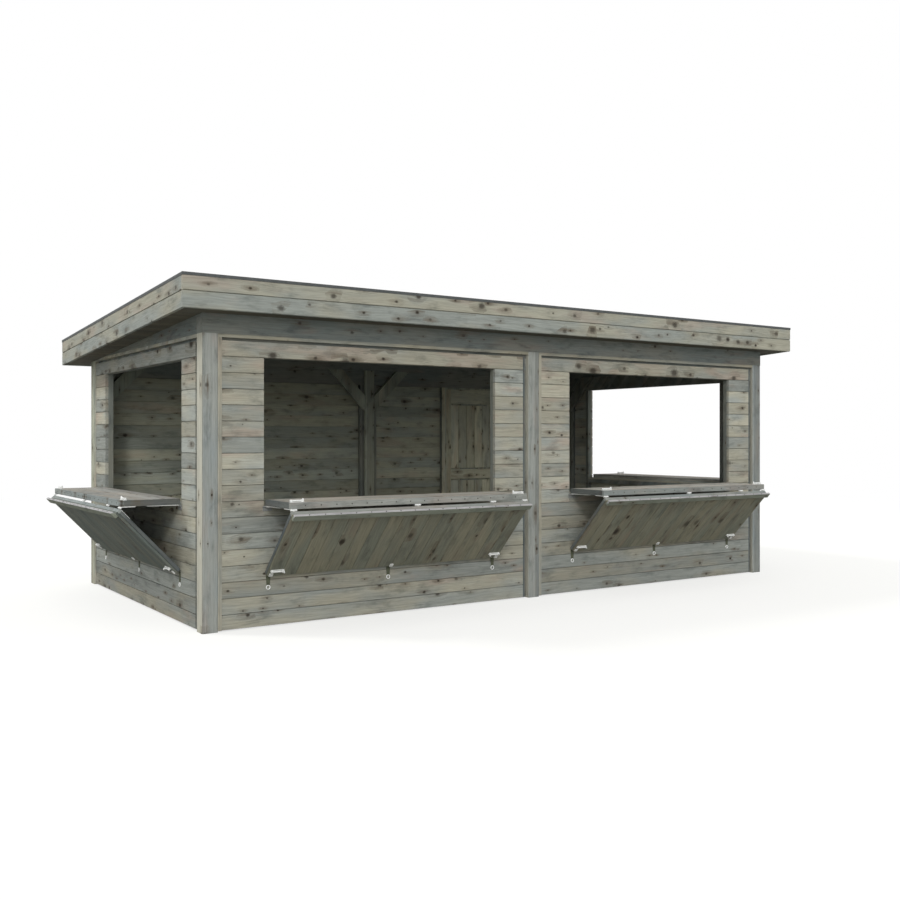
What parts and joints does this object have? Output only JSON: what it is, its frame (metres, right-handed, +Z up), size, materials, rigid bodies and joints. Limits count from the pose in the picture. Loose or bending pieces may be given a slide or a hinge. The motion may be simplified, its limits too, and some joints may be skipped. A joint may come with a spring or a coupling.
{
  "type": "wooden market stall",
  "caption": "Boarded timber market stall with braced post frame, flat sloping roof, folding serving hatches that drop to counters, and a plank door at the back.",
  "frame": {"origin": "on the ground under the middle of the stall's overall box, hatches open", "axes": "+X along the long front, to the right seen from the front; +Y from front to back; +Z up"},
  "size_m": [7.1616, 3.8788, 2.585],
  "materials": {
    "board_wood": "weathered grey stain",
    "post_wood": "weathered blue-grey stain",
    "batten_wood": "weathered pale stain",
    "frame_wood": "grey stain",
    "fascia_wood": "weathered grey stain",
    "deck_wood": "bare planks",
    "counter_wood": "weathered grey stain",
    "flap_wood": "grey-brown stain",
    "door_wood": "grey stain",
    "galvanised_steel": "galvanised",
    "strap_webbing": "olive webbing",
    "roof_trim_metal": "dark grey coated sheet",
    "roof_felt": "roofing sheet"
  },
  "bodies": {
    "stall": {"back_beam": "post_wood", "back_braces": "frame_wood", "back_door_side_walls": "board_wood", "back_fascia": "fascia_wood", "back_over_door_wall": "board_wood", "back_plain_wall": "board_wood", "back_posts": "post_wood", "door_hinge_plates": "galvanised_steel", "door_stops": "frame_wood", "end_beams": "post_wood", "end_braces": "frame_wood", "end_fascias": "fascia_wood", "end_lintel_walls": "board_wood", "end_lower_walls": "board_wood", "end_side_walls": "board_wood", "front_beam": "post_wood", "front_braces": "frame_wood", "front_fascia": "fascia_wood", "front_lintel_walls": "board_wood", "front_lower_walls": "board_wood", "front_posts": "post_wood", "front_side_walls": "board_wood", "hatch_catch_rings": "galvanised_steel", "hatch_catch_straps": "strap_webbing", "hatch_hinge_plates": "galvanised_steel", "head_rails": "frame_wood", "roof_deck": "deck_wood", "roof_edge_trim": "roof_trim_metal", "roof_gables": "post_wood", "roof_headers": "post_wood", "roof_joists": "frame_wood", "roof_membrane": "roof_felt", "side_battens": "batten_wood", "sill_rails": "frame_wood", "soffit_boards": "deck_wood", "top_battens": "batten_wood", "wall_studs": "frame_wood"},
    "left_end_counter_body": {"left_end_counter": "counter_wood", "left_end_counter_fittings": "galvanised_steel"},
    "left_end_flap_body": {"left_end_flap": "flap_wood", "left_end_flap_fittings": "galvanised_steel"},
    "front_left_counter_body": {"front_left_counter": "counter_wood", "front_left_counter_fittings": "galvanised_steel"},
    "front_left_flap_body": {"front_left_flap": "flap_wood", "front_left_flap_fittings": "galvanised_steel"},
    "front_right_counter_body": {"front_right_counter": "counter_wood", "front_right_counter_fittings": "galvanised_steel"},
    "front_right_flap_body": {"front_right_flap": "flap_wood", "front_right_flap_fittings": "galvanised_steel"},
    "right_end_counter_body": {"right_end_counter": "counter_wood", "right_end_counter_fittings": "galvanised_steel"},
    "right_end_flap_body": {"right_end_flap": "flap_wood", "right_end_flap_fittings": "galvanised_steel"},
    "door": {"door_planks": "door_wood", "door_rails": "door_wood", "door_straps": "galvanised_steel", "door_pull": "galvanised_steel"}
  },
  "joints": [
    {"name": "left_end_counter_hinge", "type": "hinge", "parent": "stall", "child": "left_end_counter_body", "pos_m": [-3.058, 0.14138, 0.905], "axis": [0, 1, 0], "range_deg": [0, 90]},
    {"name": "left_end_flap_fold", "type": "hinge", "parent": "left_end_counter_body", "child": "left_end_flap_body", "pos_m": [-3.50846, 0.14138, 0.905], "axis": [0, 1, 0], "range_deg": [0, 133.71]},
    {"name": "front_left_counter_hinge", "type": "hinge", "parent": "stall", "child": "front_left_counter_body", "pos_m": [-1.5, -1.41662, 0.905], "axis": [-1, 0, 0], "range_deg": [0, 90]},
    {"name": "front_left_flap_fold", "type": "hinge", "parent": "front_left_counter_body", "child": "front_left_flap_body", "pos_m": [-1.5, -1.86708, 0.905], "axis": [-1, 0, 0], "range_deg": [0, 133.71]},
    {"name": "front_right_counter_hinge", "type": "hinge", "parent": "stall", "child": "front_right_counter_body", "pos_m": [1.5, -1.41662, 0.905], "axis": [-1, 0, 0], "range_deg": [0, 90]},
    {"name": "front_right_flap_fold", "type": "hinge", "parent": "front_right_counter_body", "child": "front_right_flap_body", "pos_m": [1.5, -1.86708, 0.905], "axis": [-1, 0, 0], "range_deg": [0, 133.71]},
    {"name": "right_end_counter_hinge", "type": "hinge", "parent": "stall", "child": "right_end_counter_body", "pos_m": [3.058, 0.14138, 0.905], "axis": [0, -1, 0], "range_deg": [0, 90]},
    {"name": "right_end_flap_fold", "type": "hinge", "parent": "right_end_counter_body", "child": "right_end_flap_body", "pos_m": [3.50846, 0.14138, 0.905], "axis": [0, -1, 0], "range_deg": [0, 133.71]},
    {"name": "door_hinge", "type": "hinge", "parent": "stall", "child": "door", "pos_m": [1.947, 1.69938, 0.9], "axis": [0, 0, -1], "range_deg": [0, 105]}
  ],
  "couplings": [
    {"joint": "left_end_flap_fold", "follows": "left_end_counter_hinge", "ratio": 1.4857},
    {"joint": "front_left_flap_fold", "follows": "front_left_counter_hinge", "ratio": 1.4857},
    {"joint": "front_right_flap_fold", "follows": "front_right_counter_hinge", "ratio": 1.4857},
    {"joint": "right_end_flap_fold", "follows": "right_end_counter_hinge", "ratio": 1.4857}
  ]
}
